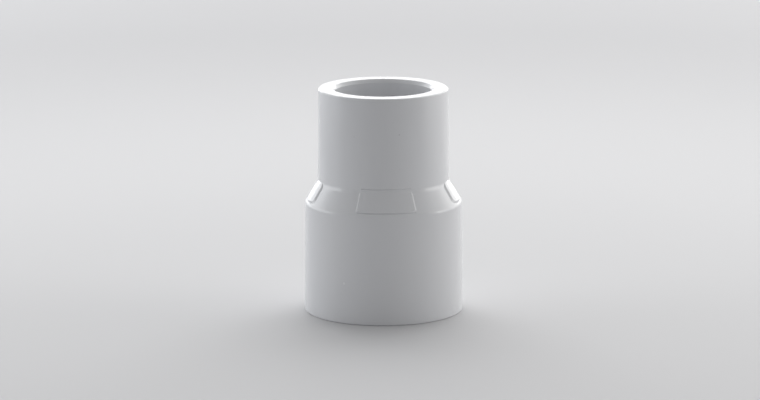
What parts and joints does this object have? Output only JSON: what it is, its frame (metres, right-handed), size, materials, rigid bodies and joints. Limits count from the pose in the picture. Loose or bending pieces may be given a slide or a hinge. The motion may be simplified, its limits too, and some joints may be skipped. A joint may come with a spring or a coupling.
{
  "type": "concentric reducer",
  "caption": "Concentric plastic pipe reducer with a larger glue-in socket below, a short outer taper with low pads, and a smaller glue-in socket above.",
  "frame": {"origin": "centre of the large mouth's end face, which is also the bottom centre of the bounding box", "axes": "+Z along the flow axis from the large socket to the small one; -Y is the side that the front pad faces"},
  "size_m": [0.0436, 0.0436, 0.0616],
  "materials": {
    "moulded_pvc": "smooth moulded rigid PVC, white with a faint cool grey cast, satin gloss"
  },
  "bodies": {
    "root": {"reducer_body": "moulded_pvc"}
  },
  "joints": []
}
